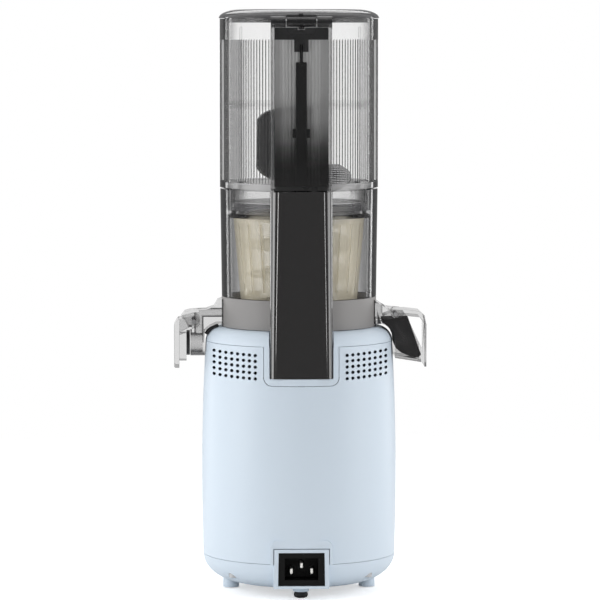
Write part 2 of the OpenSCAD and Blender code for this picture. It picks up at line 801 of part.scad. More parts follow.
module auger() {
    flight_z1 = strainer_rim_z - 2;
    tip0 = strainer_inner(auger_z) - 0.8;
    tip1 = strainer_inner(flight_z1) - 0.8;
    color([0.86, 0.83, 0.74]) difference() {
        union() {
            bar_z(hub_r, floor_top - 2, auger_z + over);
            rotate_extrude() polygon(concat([[0, auger_z], [core_foot_r, auger_z], [core_foot_r, auger_z + 3]],
                [for (i = [0 : 8]) let (u = i / 8) [core_waist_r + (core_top_r - core_waist_r) * sin(90 * u),
                    auger_z + 3 + (auger_top - auger_z - 3) * u]], [[0, auger_top]]));
            for (s = [0, 180]) blade(auger_z + 2, flight_z1, 8, tip0, tip1, flight_t, flight_turns, s, 40);
        }
        translate([0, 0, floor_top - 3]) cylinder(r = hex_r + 0.15, h = socket_top - floor_top + 3, $fn = 6);
    }
}

// The cutter on the auger's head, up inside the hopper: a cone, a tall sickle that
// spirals outwards from it, and a low wing that draws the fruit down
sickle_t = 2.4;
sickle_end_h = 33;
wing_h = 20;
wing_turns = 0.3;
module cutting_blade() {
    steps = 20;
    foot_z = auger_top + 4;
    reach = hopper_r / 2;
    rings = [for (i = [0 : steps])
        let (u = i / steps, a = 150 + 210 * u, r = 4 + (reach - 4) * u)
        let (z0 = foot_z + 17 * pow(u, 4), z1 = blade_top - (blade_top - foot_z - 17 - sickle_end_h) * pow(u, 6))
        each [[r * cos(a), r * sin(a), z0], [(r + sickle_t) * cos(a), (r + sickle_t) * sin(a), z0],
            [(r + sickle_t * 0.6) * cos(a), (r + sickle_t * 0.6) * sin(a), z1], [r * cos(a), r * sin(a), z1]]];
    color([0.25, 0.25, 0.26]) {
        rotate_extrude() polygon([[0, auger_top], [core_top_r, auger_top], [8, auger_top + 12], [5.6, blade_top - 14], [0, blade_top - 10]]);
        swept(rings, steps, 4);
        blade(auger_top + 1, auger_top + wing_h, 2, hopper_floor_r - 5, hopper_floor_r - 7, sickle_t, wing_turns, 110, 14);
    }
}

// ---- Juice outlet ----

cheek_w = 2.5;
lever_arm_t = 3;
shoulder_clear = 0.5;
gasket_t = 1.4;

module juice_profile() {
    deck = body_h;
    end = juice_reach;
    polygon([[band_r - 2, deck + 2.2], [band_r - 2, deck + 20.2], [band_r + 3, deck + 18.4], [band_r + 5.5, deck + 13.9],
        [body_r - 3, deck + 12.1], [end - 11.3, deck + 11.4], [end - 7.3, deck + 10.4], [end - 4.7, deck + 7.2],
        [end - 7.3, deck + 5.2], [end - 9.8, deck - 0.1], [body_r - 1.4, deck - 0.1], [body_r - 1.4, deck - 3.4],
        [body_r - 5.5, deck - 0.1], [body_r - 10, deck + 2]]);
}

module juice_spout() {
    duct_x = body_r + 2;
    color([0.5, 0.52, 0.55, 0.6]) difference() {
        union() {
            difference() {
                slab_y(spout_w) juice_profile();
                bar_z(band_r + run, 0, 2 * body_h);
            }
            bar_x(nozzle_r, barrel(nozzle_z) + 0.5, nozzle_end, 0, nozzle_z);
            box([body_r - 1.4, -nozzle_r + 1.5, nozzle_z], [nozzle_end - 1, nozzle_r - 1.5, body_h]);
        }
        bar_x(3.2, band_r - 4, duct_x, 0, floor_top + 4);
        bar_z(3.2, nozzle_z, floor_top + 4, duct_x);
        bar_x(nozzle_bore / 2, barrel(nozzle_z) + 2, nozzle_end + over, 0, nozzle_z);
        for (s = [-1, 1]) translate([cap_pivot_x, s * (spout_w / 2 - cheek_w), cap_pivot_z])
            rotate([-90 * s, 0, 0]) cylinder(r = cap_pin_r, h = 10);
    }
}

// The black strip between spout and shoulder
module shoulder_gasket() {
    color([0.08, 0.08, 0.08]) rotate([0, 0, -9]) rotate_extrude(angle = 18)
        polygon(concat(arc(shoulder_x, shoulder_z, shoulder_r + shoulder_clear, 80, 26, 6),
            arc(shoulder_x, shoulder_z, shoulder_r + shoulder_clear + gasket_t, 26, 80, 6)));
}

module juice_cap_pins() {
    color("silver") for (s = [-1, 1]) translate([cap_pivot_x, s * (spout_w / 2 - cheek_w), cap_pivot_z])
        rotate([-90 * s, 0, 0]) cylinder(r = cap_pin_r, h = cheek_w + gap + lever_arm_t);
}

// Two arms on the pins, the thumb plate and the holder of the gasket
module juice_cap_lever() {
    outer_w = spout_w + 2 * gap + 2 * lever_arm_t;
    plate_x = juice_reach - 3.6;
    color([0.6, 0.62, 0.65, 0.6]) difference() {
        union() {
            for (s = [-1, 1]) translate([0, s * (outer_w - lever_arm_t) / 2, 0]) {
                slab_y(lever_arm_t) polygon([[cap_pivot_x, cap_pivot_z - 4.4], [cap_pivot_x, cap_pivot_z + 4.4],
                    [plate_x + 1, body_h + 5.5], [plate_x + 1, body_h - 6]]);
                bar_y(4.4, -lever_arm_t / 2, lever_arm_t / 2, cap_pivot_x, cap_pivot_z);
            }
            slab_y(outer_w) polygon([[plate_x, body_h - 28.3], [plate_x, body_h + 5.6], [plate_x + 1.8, body_h + 4.4],
                [juice_reach, body_h + 1.4], [juice_reach, body_h - 27.6], [juice_reach - 1, body_h - 28.3]]);
            box([nozzle_end + 2.7, -7, nozzle_z - nozzle_r - 3], [plate_x + 0.5, 7, nozzle_z + 7]);
        }
        for (s = [-1, 1]) bar_y(cap_pin_r + run, s * outer_w / 2 - 5, s * outer_w / 2 + 5, cap_pivot_x, cap_pivot_z);
    }
}

module juice_cap_gasket() {
    color([0.08, 0.08, 0.08]) bar_x(nozzle_r - 0.4, nozzle_end + gap, nozzle_end + 2.7, 0, nozzle_z);
}

// ---- Pulp outlet ----

ear_t = 2.5;
plug_w = chute_w - 2 * ear_t - 2 * gap;

module mirror_x() {
    mirror([1, 0, 0]) children();
}

module pulp_chute() {
    deck = body_h;
    floor_end = pulp_reach - 3.5;
    color([0.6, 0.62, 0.65, 0.5]) mirror_x() difference() {
        union() {
            difference() {
                slab_y(chute_w) polygon([[band_r - 2, deck + 2.2], [band_r - 2, deck + 19],
                    [band_r + 3.7, deck + 15], [band_r + 6.5, deck + 13.3], [body_r - 5.2, deck + 12.6],
                    [body_r - 5.2, deck + 9], [band_r + 3, deck + 7.2], [band_r + 3, deck + 2.2]]);
                bar_z(band_r + run, 0, 2 * body_h);
            }
            for (s = [-1, 1]) translate([0, s * (chute_w - ear_t) / 2, 0]) {
                slab_y(ear_t) polygon([[band_r + 1.5, deck + 2.6], [band_r + 1.5, deck + 14], [body_r - 5.2, deck + 12.6],
                    [body_r + 3, deck + 12], [body_r + 6, deck + 9], [floor_end, deck - 14], [floor_end, deck - 24.5],
                    [body_r - 1.4, deck - 21.6], [body_r - 1.4, deck - 3.2], [body_r - 5.5, deck], [band_r + 4, deck + 2.2]]);
            }
            slab_y(chute_w) polygon([[body_r - 1.4, deck - 21.6], [floor_end, deck - 24.5], [floor_end, deck - 23],
                [body_r - 1.4, deck - 20.1]]);
        }
        box([band_r - 3, -chute_w / 2 + 4, floor_top], [band_r + 4, chute_w / 2 - 4, floor_top + pulp_port_h]);
        bar_y(cap_pin_r, -chute_w, chute_w, pulp_pivot_x, pulp_pivot_z);
    }
}

module pulp_cap_pin() {
    color("silver") mirror_x() bar_y(cap_pin_r, -chute_w / 2, chute_w / 2, pulp_pivot_x, pulp_pivot_z);
}

// Roof and outer wall of the pulp outlet, on the pin
module pulp_cap() {
    deck = body_h;
    color([0.6, 0.62, 0.65, 0.5]) mirror_x() difference() {
        union() {
            slab_y(plug_w) polygon([[pulp_pivot_x, pulp_pivot_z - 1.6], [pulp_pivot_x, pulp_pivot_z + 3], [body_r + 6, deck + 11.9],
                [pulp_reach - 4.5, deck + 10.7], [pulp_reach - 1.1, deck + 7.8], [pulp_reach, deck + 2.4],
                [pulp_reach, deck - 27.8], [pulp_reach - 1.4, deck - 27.8], [pulp_reach - 1.4, deck + 2.4],
                [pulp_reach - 4.5, deck + 6.6], [body_r + 6, deck + 7.6]]);
            bar_y(3, -plug_w / 2, plug_w / 2, pulp_pivot_x, pulp_pivot_z);
            slab_y(chute_w) polygon([[pulp_reach, deck + 2.4], [pulp_reach, deck - 27.8],
                [pulp_reach - 1.4, deck - 27.8], [pulp_reach - 1.4, deck + 2.4]]);
        }
        bar_y(cap_pin_r + run, -chute_w, chute_w, pulp_pivot_x, pulp_pivot_z);
    }
}

module pulp_plug() {
    deck = body_h;
    color([0.08, 0.08, 0.08]) mirror_x() slab_y(plug_w - 1) polygon([[body_r - 6.8, deck + 5.6], [body_r + 2.6, deck + 5.9],
        [body_r + 6, deck + 7.5], [body_r + 7.5, deck + 7.4], [pulp_reach - 3.5, deck - 19.5], [pulp_reach - 5.1, deck - 21.4],
        [pulp_reach - 9.3, deck - 21.5], [body_r + 2.8, deck - 18], [body_r - 0.4, deck - 15.2],
        [body_r - 1.9, deck - 11.6], [body_r - 2.4, deck - 6.6]]);
}

// ---- Hopper ----

flute_z0 = hopper_z + 4;
flute_z1 = hopper_top - rim_band;
column_top = hopper_top - 6;

module flute_ring() {
    linear_extrude(flute_z1 - flute_z0) difference() {
        polygon([for (i = [0 : 2 * flutes - 1]) let (a = 180 * i / flutes, r = hopper_r - 0.1 - (i % 2) * flute_depth)
            [r * cos(a), r * sin(a)]]);
        circle(hopper_r - hopper_wall);
    }
}

// The hopper, with its bayonet lugs, the column's walls and the hinge's outer knuckles. A groove
// under the column's floor clears the raised lower rod while the hopper turns
module hopper() {
    color([0.5, 0.52, 0.55, 0.5]) difference() {
        union() {
            tube(hopper_r, hopper_r - hopper_wall, hopper_z, flute_z0);
            translate([0, 0, flute_z0]) flute_ring();
            tube(hopper_r, hopper_r - hopper_wall, flute_z1, hopper_top);
            tube(spigot_r, spigot_r - 2.2, strainer_rim_z + strainer_rim_h + gap, hopper_z + 3);
            tube(hopper_r - 1, hopper_floor_r, hopper_z, hopper_z + 3);
            for (a = lug_angles) sector(spigot_r - 0.5, spigot_r + 1.6, lug_z, lug_z + lug_h, a, 14);
            difference() {
                translate([0, 0, hopper_z]) linear_extrude(column_top - hopper_z)
                    column_plan(hopper_column_w, hopper_r - 12, column_y - 0.5, 4);
                bar_z(hopper_r - 1, 0, 2 * hopper_top);
                box([-hopper_column_w / 2 + column_wall, hopper_r - 2, hopper_z + 2.5],
                    [hopper_column_w / 2 - column_wall, 2 * hopper_r, 2 * hopper_top]);
            }
            for (s = [0, 1]) mirror([s, 0, 0]) {
                bar_x(knuckle_r, knuckle_x + gap, hopper_column_w / 2, hinge_y, hinge_z);
                box([knuckle_x + gap, hinge_y - knuckle_r + 0.4, column_top + seam],
                    [hopper_column_w / 2, hinge_y + knuckle_r - 0.4, hinge_z]);
                box([hopper_column_w / 2 - column_wall, hinge_y - knuckle_r + 0.4, column_top - over],
                    [hopper_column_w / 2, hinge_y + knuckle_r - 0.4, column_top + over]);
            }
        }
        box([-rod_w / 2 - 0.3, rod_y - rod_t / 2 - 0.3, hopper_z - over], [rod_w / 2 + 0.3, rod_y + rod_t / 2 + 0.3, hopper_z + 4]);
        bar_x(hinge_pin_r, -hopper_r, hopper_r, hinge_y, hinge_z);
        sector(rod_y - rod_t / 2 - 0.6, rod_y + rod_t / 2 + 0.8, hopper_z - over, hopper_z + rod_travel - 0.4, 80, 34);
    }
}

// The rear panel of the hopper's column, with the small plate under the hinge
module column_panel() {
    half_w = hopper_column_w / 2 - column_wall - seam;
    face_y = column_y - 0.6;
    color([0.45, 0.46, 0.48, 0.7]) {
        box([-half_w, face_y - 2.2, hopper_z + 2.6], [half_w, face_y, column_top]);
        translate([0, face_y + 0.5, 0]) slab_y(1) polygon([[-knuckle_x, column_top], [knuckle_x, column_top],
            [knuckle_x - 2, column_top - 4.4], [2 - knuckle_x, column_top - 4.4]]);
    }
}

// The black T that guides the upper rod's neck
module rod_guide() {
    half_w = hopper_column_w / 2 - column_wall - seam;
    y0 = hopper_r + seam;
    y1 = column_y - 0.6 - 2.2 - seam;
    color([0.08, 0.08, 0.08]) difference() {
        union() {
            box([-half_w, y0, column_top - 8.2], [half_w, y1, column_top]);
            box([-4.8, y0, column_top - 16.5], [4.8, y1, column_top - 8]);
        }
        bar_z(neck_r + run, 0, 2 * hopper_top, 0, rod_y);
        box([-neck_r - run, rod_y, 0], [neck_r + run, y1 + over, column_top - 11.4]);
        box([-cam_w / 2 - 2 * gap, y0 - over, hinge_z - cam_reach - 2 * gap], [cam_w / 2 + 2 * gap, y1 + over, column_top + over]);
    }
}

module lid_hinge_pin() {
    color("silver") bar_x(hinge_pin_r, -hopper_column_w / 2, hopper_column_w / 2, hinge_y, hinge_z);
}

// ---- Lid ----

lid_corner_x = lid_r - 15.9;
cam_w = 4;
cam_r = 1.2;

function lid_points(r, z_top, z_rim) = [for (i = [0 : 8]) let (a = 90 * i / 8)
    [lid_corner_x + (r - lid_corner_x) * sin(a), z_rim + (z_top - z_rim) * cos(a)]];

module lid() {
    skin = 2.4;
    ring_r = hopper_r - hopper_wall - 0.8;
    color([0.4, 0.4, 0.42, 0.6]) difference() {
        union() {
            rotate_extrude() polygon(concat([[0, lid_z + lid_h]], lid_points(lid_r, lid_z + lid_h, lid_z),
                reverse_points(lid_points(lid_r - skin, lid_z + lid_h - skin, lid_z)), [[0, lid_z + lid_h - skin]]));
            tube(ring_r, ring_r - 2, lid_z - 3, lid_z + 2.2);
            box([-knuckle_x + gap, hopper_r - 5, lid_z], [knuckle_x - gap, hinge_y, lid_z + 2.4]);
            bar_x(knuckle_r, -knuckle_x + gap, knuckle_x - gap, hinge_y, hinge_z);
            translate([0, hinge_y, hinge_z]) box([-cam_w / 2, -cam_r, -cam_reach + cam_r], [cam_w / 2, cam_r, 0]);
            bar_x(cam_r, -cam_w / 2, cam_w / 2, hinge_y, hinge_z - cam_reach + cam_r);
            box([-9, -lid_r - 4, lid_z], [9, -lid_r + 3, lid_z + 2]);
        }
        bar_x(hinge_pin_r + run, -hopper_r, hopper_r, hinge_y, hinge_z);
    }
}

function reverse_points(p) = [for (i = [len(p) - 1 : -1 : 0]) p[i]];

// ---- Interlock rods ----

neck_r = 1.2;

module upper_rod() {
    neck_z = column_top - 23.5;
    color([0.1, 0.1, 0.1]) {
        box([-rod_w / 2, rod_y - rod_t / 2, chamber_top + 0.4], [rod_w / 2, rod_y + rod_t / 2, neck_z]);
        bar_z(neck_r, neck_z - over, hinge_z - cam_reach - 0.3, 0, rod_y);
        box([-rod_w / 2 - 2.3, rod_y - 1.5, chamber_top + 37], [rod_w / 2 + 2.3, rod_y + 1.5, chamber_top + 43]);
    }
}

module lower_rod() {
    color([0.1, 0.1, 0.1]) box([-rod_w / 2, rod_y - rod_t / 2, plunger_top + 0.3], [rod_w / 2, rod_y + rod_t / 2, chamber_top + 0.1]);
}

main_shell();
top_cover();
bottom_cover();
rubber_feet();
power_inlet();
inlet_pins();
motor_can();
stator_core();
motor_bushes();
gearbox_base();
gearbox_cover();
counter_shaft();
output_bush();
shaft_seal();
control_board();
speed_switch();
interlock_switch();
housing_screws();
motor_rotor();
cooling_fan();
counter_gear();
output_gear();
drive_shaft();
control_knob();
juice_chamber();
chamber_base();
chamber_column();
strainer();
chamber_seal();
juice_spout();
shoulder_gasket();
juice_cap_pins();
pulp_chute();
pulp_cap_pin();
auger();
cutting_blade();
juice_cap_lever();
juice_cap_gasket();
pulp_cap();
pulp_plug();
hopper();
column_panel();
rod_guide();
lid_hinge_pin();
lid();
upper_rod();
lower_rod();
interlock_plunger();
plunger_spring();
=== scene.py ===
import json
import math
import bmesh
import bpy
from mathutils import Matrix, Vector


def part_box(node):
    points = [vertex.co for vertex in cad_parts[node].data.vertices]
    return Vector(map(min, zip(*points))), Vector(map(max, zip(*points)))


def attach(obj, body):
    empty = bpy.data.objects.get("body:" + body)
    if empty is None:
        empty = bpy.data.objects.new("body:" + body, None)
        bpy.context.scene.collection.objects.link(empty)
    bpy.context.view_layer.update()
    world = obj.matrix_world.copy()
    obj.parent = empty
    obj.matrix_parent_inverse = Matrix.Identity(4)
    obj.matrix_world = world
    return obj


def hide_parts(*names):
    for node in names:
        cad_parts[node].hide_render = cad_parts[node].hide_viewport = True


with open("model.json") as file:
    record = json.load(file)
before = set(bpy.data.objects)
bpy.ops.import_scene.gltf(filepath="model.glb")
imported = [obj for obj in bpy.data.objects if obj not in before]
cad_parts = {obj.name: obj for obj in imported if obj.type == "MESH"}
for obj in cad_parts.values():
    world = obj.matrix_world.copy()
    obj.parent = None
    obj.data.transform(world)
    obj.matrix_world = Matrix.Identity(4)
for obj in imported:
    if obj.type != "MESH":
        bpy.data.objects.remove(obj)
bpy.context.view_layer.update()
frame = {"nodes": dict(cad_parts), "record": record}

mm = 0.001

# ---- Motor body ----
# Three pale-blue injection mouldings with a satin skin: a barrel, a top cover with a rounded
# shoulder and the column's notch, and a bowl underneath. Their edges are broken, so the seams
# between them read as fine grooves.


def new_material(name, **sockets):
    """A material with one Principled shader, its sockets set by name."""
    material = bpy.data.materials.new(name)
    material.use_nodes = True
    shader = material.node_tree.nodes["Principled BSDF"]
    for key, value in sockets.items():
        shader.inputs[key.replace("_", " ")].default_value = value
    return material


def add_node(material, kind, **values):
    """A new node, with its sockets and settings given by name."""
    node = material.node_tree.nodes.new(kind)
    for key, value in values.items():
        if key in node.inputs:
            node.inputs[key].default_value = value
        else:
            setattr(node, key, value)
    return node


def wire(material, source, output, target, socket):
    material.node_tree.links.new(source.outputs[output], target.inputs[socket])


def spread_between(material, source, output, low, high, from_low=0.0, from_high=1.0):
    """The source's value spread over low to high."""
    spread = add_node(material, "ShaderNodeMapRange")
    ends = {"From Min": from_low, "From Max": from_high, "To Min": low, "To Max": high}
    for socket, value in ends.items():
        spread.inputs[socket].default_value = value
    wire(material, source, output, spread, "Value")
    return spread


def moulded_grain(material, scale=900.0, strength=0.04, rough_low=0.2, rough_high=0.3):
    """Fine orange-peel bump and slow patches of duller gloss, as on injection mouldings."""
    shader = material.node_tree.nodes["Principled BSDF"]
    place = add_node(material, "ShaderNodeTexCoord")
    fine = add_node(material, "ShaderNodeTexNoise", Scale=scale, Detail=2.0)
    slow = add_node(material, "ShaderNodeTexNoise", Scale=22.0, Detail=3.0)
    bump = add_node(material, "ShaderNodeBump", Strength=strength, Distance=0.0002)
    wire(material, place, "Object", fine, "Vector")
    wire(material, place, "Object", slow, "Vector")
    wire(material, fine, "Fac", bump, "Height")
    wire(material, bump, "Normal", shader, "Normal")
    gloss = spread_between(material, slow, "Fac", rough_low, rough_high, 0.3, 0.7)
    wire(material, gloss, "Result", shader, "Roughness")


def body_of(node):
    """The moving body that the record puts a node on."""
    for name, members in frame["record"]["behaviour"]["bodies"].items():
        if node in members:
            return name


def smooth_between_edges(mesh, degrees=32.0):
    """Smooth shading, with the edges sharper than the angle marked sharp."""
    shape = bmesh.new()
    shape.from_mesh(mesh)
    for edge in shape.edges:
        edge.smooth = edge.calc_face_angle(math.pi) < math.radians(degrees)
    for face in shape.faces:
        face.smooth = True
    shape.to_mesh(mesh)
    shape.free()


def break_edges(piece, width, degrees=40.0, segments=2):
    """A small bevel on the sharp edges, as any moulded or turned part has."""
    edge_break = piece.modifiers.new("edge_break", "BEVEL")
    edge_break.width = width
    edge_break.segments = segments
    edge_break.limit_method = "ANGLE"
    edge_break.angle_limit = math.radians(degrees)
    edge_break.harden_normals = True
    edge_break.miter_outer = "MITER_ARC"


def dressed(node, material, degrees=32.0, bevel=0.0, reshape=None):
    """The CAD node's own shape as a merged, smooth-shaded piece in the given material."""
    mesh = frame["nodes"][node].data.copy()
    shape = bmesh.new()
    shape.from_mesh(mesh)
    flat_angle = math.radians(0.5)
    bmesh.ops.remove_doubles(shape, verts=shape.verts, dist=2e-6)
    bmesh.ops.dissolve_limit(shape, angle_limit=flat_angle, verts=shape.verts, edges=shape.edges)
    bmesh.ops.connect_verts_concave(shape, faces=shape.faces)
    if reshape:
        reshape(shape)
    shape.to_mesh(mesh)
    shape.free()
    smooth_between_edges(mesh, degrees)
    mesh.materials.clear()
    mesh.materials.append(material)
    piece = bpy.data.objects.new(node + "_finished", mesh)
    bpy.context.collection.objects.link(piece)
    if bevel:
        break_edges(piece, bevel)
    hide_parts(node)
    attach(piece, body_of(node))
    return piece


def finish_inside(material, *nodes):
    """CAD nodes that keep their own mesh get a better material."""
    for node in nodes:
        for socket in frame["nodes"][node].material_slots:
            socket.material = material


low_seam, high_seam = 25.3 * mm, 174.8 * mm
seam_gap, seam_reach = 0.16 * mm, 0.1 * mm
tongue_half, tongue_top, tongue_gap = 19.2 * mm, 36.5 * mm, 0.45 * mm
bezel_half, bezel_low, bezel_gap = 25.9 * mm, 148.2 * mm, 0.22 * mm
side_reach, rear_start, corner_height = 0.3 * mm, 40 * mm, 6 * mm


def at_the_back(v, half_width):
    """Whether a vertex belongs to the tongue or the bezel at the back."""
    return v.co.y > rear_start and abs(v.co.x) < half_width + side_reach


def part_the_shell(shape):
    """Draws the barrel's two ends back from the covers."""
    for v in shape.verts:
        if abs(v.co.z - low_seam) < seam_reach:
            v.co.z += seam_gap
        if abs(v.co.z - high_seam) < seam_reach:
            v.co.z -= seam_gap


def part_the_top(shape):
    """Opens the seam round the cover, and round the bezel that hangs from it into the shell."""
    for v in shape.verts:
        if at_the_back(v, bezel_half) and v.co.z < high_seam + seam_reach:
            low_share = max(0, min(1, (bezel_low + corner_height - v.co.z) / corner_height))
            v.co.x -= bezel_gap * v.co.x / bezel_half
            v.co.z += bezel_gap * low_share
        elif abs(v.co.z - high_seam) < seam_reach:
            v.co.z += seam_gap


def part_the_bottom(shape):
    """Opens the seam over the bowl, and round the tongue that carries the inlet."""
    for v in shape.verts:
        if at_the_back(v, tongue_half) and v.co.z > low_seam - seam_reach:
            high_share = max(0, min(1, (v.co.z - tongue_top + corner_height) / corner_height))
            v.co.x -= tongue_gap * v.co.x / tongue_half
            v.co.z -= tongue_gap * high_share
        elif abs(v.co.z - low_seam) < seam_reach:
            v.co.z -= seam_gap


blue_plastic = new_material("pale_blue_plastic", Base_Color=(0.65, 0.74, 0.83, 1), IOR=1.46)
moulded_grain(blue_plastic, rough_low=0.38, rough_high=0.46)
mouldings = {"main_shell": part_the_shell, "top_cover": part_the_top,
             "bottom_cover": part_the_bottom}
for node, reshape in mouldings.items():
    dressed(node, blue_plastic, bevel=0.22 * mm, reshape=reshape)

# ---- Feet ----
# Black rubber feet in the bowl: the two at the sides are plugs in pale legs, the front and
# rear ones round buttons.
rubber = new_material("black_rubber", Base_Color=(0.012, 0.012, 0.013, 1), IOR=1.45)
moulded_grain(rubber, scale=1400.0, strength=0.15, rough_low=0.45, rough_high=0.6)
dressed("rubber_feet", rubber, bevel=2.0 * mm)

# ---- Power inlet ----
# A black moulded socket with three nickel-plated pins, set in the bowl's tongue.
inlet_black = new_material("inlet_black", Base_Color=(0.004, 0.004, 0.004, 1), IOR=1.25)
moulded_grain(inlet_black, scale=1200.0, strength=0.1, rough_low=0.4, rough_high=0.55)
dressed("power_inlet", inlet_black, bevel=0.25 * mm)
nickel = new_material("nickel", Base_Color=(0.85, 0.84, 0.8, 1), Metallic=1.0)
moulded_grain(nickel, scale=1600.0, strength=0.05, rough_low=0.22, rough_high=0.34)
dressed("inlet_pins", nickel, bevel=0.75 * mm)

# ---- Motor, gears and controls inside ----
# The motor hangs under the gearbox inside the body, with the board and switches beside it.
# Nothing here shows until the body is opened, so these keep the CAD's own shapes.
steel = new_material("turned_steel", Base_Color=(0.5, 0.5, 0.51, 1), Metallic=1.0)
moulded_grain(steel, scale=1500.0, strength=0.06, rough_low=0.25, rough_high=0.4)
finish_inside(steel, "motor_can", "motor_rotor", "counter_shaft", "drive_shaft", "housing_screws",
              "plunger_spring", "lid_hinge_pin", "juice_cap_pins", "pulp_cap_pin")
copper = new_material("varnished_copper", Base_Color=(0.55, 0.24, 0.1, 1), Metallic=0.8)
moulded_grain(copper, scale=700.0, strength=0.4, rough_low=0.35, rough_high=0.5)
finish_inside(copper, "stator_core")
bronze = new_material("sintered_bronze", Base_Color=(0.42, 0.27, 0.1, 1), Metallic=1.0)
moulded_grain(bronze, scale=1800.0, strength=0.2, rough_low=0.4, rough_high=0.55)
finish_inside(bronze, "motor_bushes", "output_bush")
gear_cream = new_material("gear_acetal", Base_Color=(0.75, 0.72, 0.62, 1))
moulded_grain(gear_cream, rough_low=0.3, rough_high=0.4)
finish_inside(gear_cream, "counter_gear", "output_gear")
inside_black = new_material("inside_black", Base_Color=(0.022, 0.022, 0.024, 1))
moulded_grain(inside_black, scale=1100.0, strength=0.12, rough_low=0.4, rough_high=0.5)
finish_inside(inside_black, "gearbox_base", "gearbox_cover", "cooling_fan", "speed_switch",
              "interlock_switch", "interlock_plunger")
board_green = new_material("board_green", Base_Color=(0.02, 0.12, 0.05, 1))
moulded_grain(board_green, scale=500.0, strength=0.08, rough_low=0.3, rough_high=0.45)
finish_inside(board_green, "control_board")
finish_inside(rubber, "shaft_seal", "chamber_seal")

# ---- Control knob ----
# A low grey knob in a round recess at the front, with a raised bar as its pointer and grip.
knob_grey = new_material("knob_grey", Base_Color=(0.5, 0.54, 0.58, 1))
moulded_grain(knob_grey, rough_low=0.3, rough_high=0.4)
dressed("control_knob", knob_grey, bevel=0.5 * mm)

# ---- Juice chamber ----
# A smoked clear barrel on a frosted band. It lets the light through where it is seen square
# on, and goes dark towards its sides.


def smoked(name, colour, steps, roughness=0.06, ior=1.45):
    """Smoked clear plastic with fine smudges in its gloss. The steps give how opaque it is, from
    square on (0) to edge on (1)."""
    material = new_material(name, Base_Color=(*colour, 1), IOR=ior)
    shader = material.node_tree.nodes["Principled BSDF"]
    facing = add_node(material, "ShaderNodeLayerWeight", Blend=0.5)
    ramp = add_node(material, "ShaderNodeValToRGB")
    points = ramp.color_ramp.elements
    for index, (position, opacity) in enumerate(steps):
        point = points[index] if index < 2 else points.new(position)
        point.position = position
        point.color = (opacity, opacity, opacity, 1)
    wire(material, facing, "Facing", ramp, "Fac")
    wire(material, ramp, "Color", shader, "Alpha")
    place = add_node(material, "ShaderNodeTexCoord")
    smudge = add_node(material, "ShaderNodeTexNoise", Scale=30.0, Detail=4.0)
    wire(material, place, "Object", smudge, "Vector")
    gloss = spread_between(material, smudge, "Fac", roughness, roughness * 2, 0.35, 0.65)
    wire(material, gloss, "Result", shader, "Roughness")
    return material


def alpha_mask(material, mask, output, extra):
    """Adds a share of opacity where the mask is 1."""
    shader = material.node_tree.nodes["Principled BSDF"]
    before = shader.inputs["Alpha"].links[0].from_socket
    more = add_node(material, "ShaderNodeMath", operation="MULTIPLY_ADD", use_clamp=True)
    more.inputs[1].default_value = extra
    wire(material, mask, output, more, 0)
    material.node_tree.links.new(before, more.inputs[2])
    wire(material, more, "Value", shader, "Alpha")


def both_masks(material, first, first_output, second, second_output):
    """A mask that is 1 where both masks are."""
    both = add_node(material, "ShaderNodeMath", operation="MULTIPLY")
    wire(material, first, first_output, both, 0)
    wire(material, second, second_output, both, 1)
    return both


def height_band(material, low, high, soft):
    """A mask that is 1 between two heights, in metres."""
    place = add_node(material, "ShaderNodeTexCoord")
    split = add_node(material, "ShaderNodeSeparateXYZ")
    wire(material, place, "Object", split, "Vector")
    up = spread_between(material, split, "Z", 0.0, 1.0, low - soft, low)
    down = spread_between(material, split, "Z", 1.0, 0.0, high, high + soft)
    return both_masks(material, up, "Result", down, "Result")


chamber_steps = [(0, 0.05), (1, 1), (0.25, 0.09), (0.42, 0.3), (0.6, 0.5), (0.65, 0.98)]
chamber_clear = smoked("chamber_clear", (0.02, 0.02, 0.021), chamber_steps)
dressed("juice_chamber", chamber_clear, bevel=0.4 * mm)
frosted = new_material("frosted_grey", Base_Color=(0.27, 0.262, 0.258, 1))
moulded_grain(frosted, scale=1500.0, strength=0.12, rough_low=0.5, rough_high=0.6)
dressed("chamber_base", frosted, bevel=0.3 * mm)

# ---- Strainer ----
# A cone of amber plastic with slots all round. Its smoked rim stands on the chamber's ledge.
rim_low = 264 * mm
amber = smoked("amber_plastic", (0.98, 0.91, 0.72), [(0, 0.2), (1, 0.95), (0.5, 0.45)],
               roughness=0.14)
rim_smoked = smoked("rim_smoked", (0.14, 0.14, 0.15), [(0, 0.35), (1, 0.95), (0.5, 0.6)])
strainer = dressed("strainer", amber, bevel=0.2 * mm)
strainer.data.materials.append(rim_smoked)
for face in strainer.data.polygons:
    if face.center.z > rim_low:
        face.material_index = 1

# ---- Auger and cutter ----
# A cream auger with two flights, and on its head the dark cutter that reaches up into the
# hopper.
cream = new_material("cream_plastic", Base_Color=(0.93, 0.91, 0.85, 1))
moulded_grain(cream, rough_low=0.3, rough_high=0.42)
dressed("auger", cream, degrees=40)
blade_black = new_material("blade_black", Base_Color=(0.018, 0.018, 0.02, 1))
moulded_grain(blade_black)
dressed("cutting_blade", blade_black, degrees=40)

# ---- Chamber column ----
# A near-black smoked moulding up the chamber's back, standing in the body's notch. Its rear
# corners are rounded, more at the top than at the foot.


def block(low, high):
    """A bmesh block between two corners, the start of a piece or of a cutter."""
    shape = bmesh.new()
    bmesh.ops.create_cube(shape, size=1.0)
    low, high = Vector(low), Vector(high)
    place = Matrix.Translation((low + high) / 2) @ Matrix.Diagonal((*(high - low), 1))
    bmesh.ops.transform(shape, matrix=place, verts=shape.verts)
    return shape


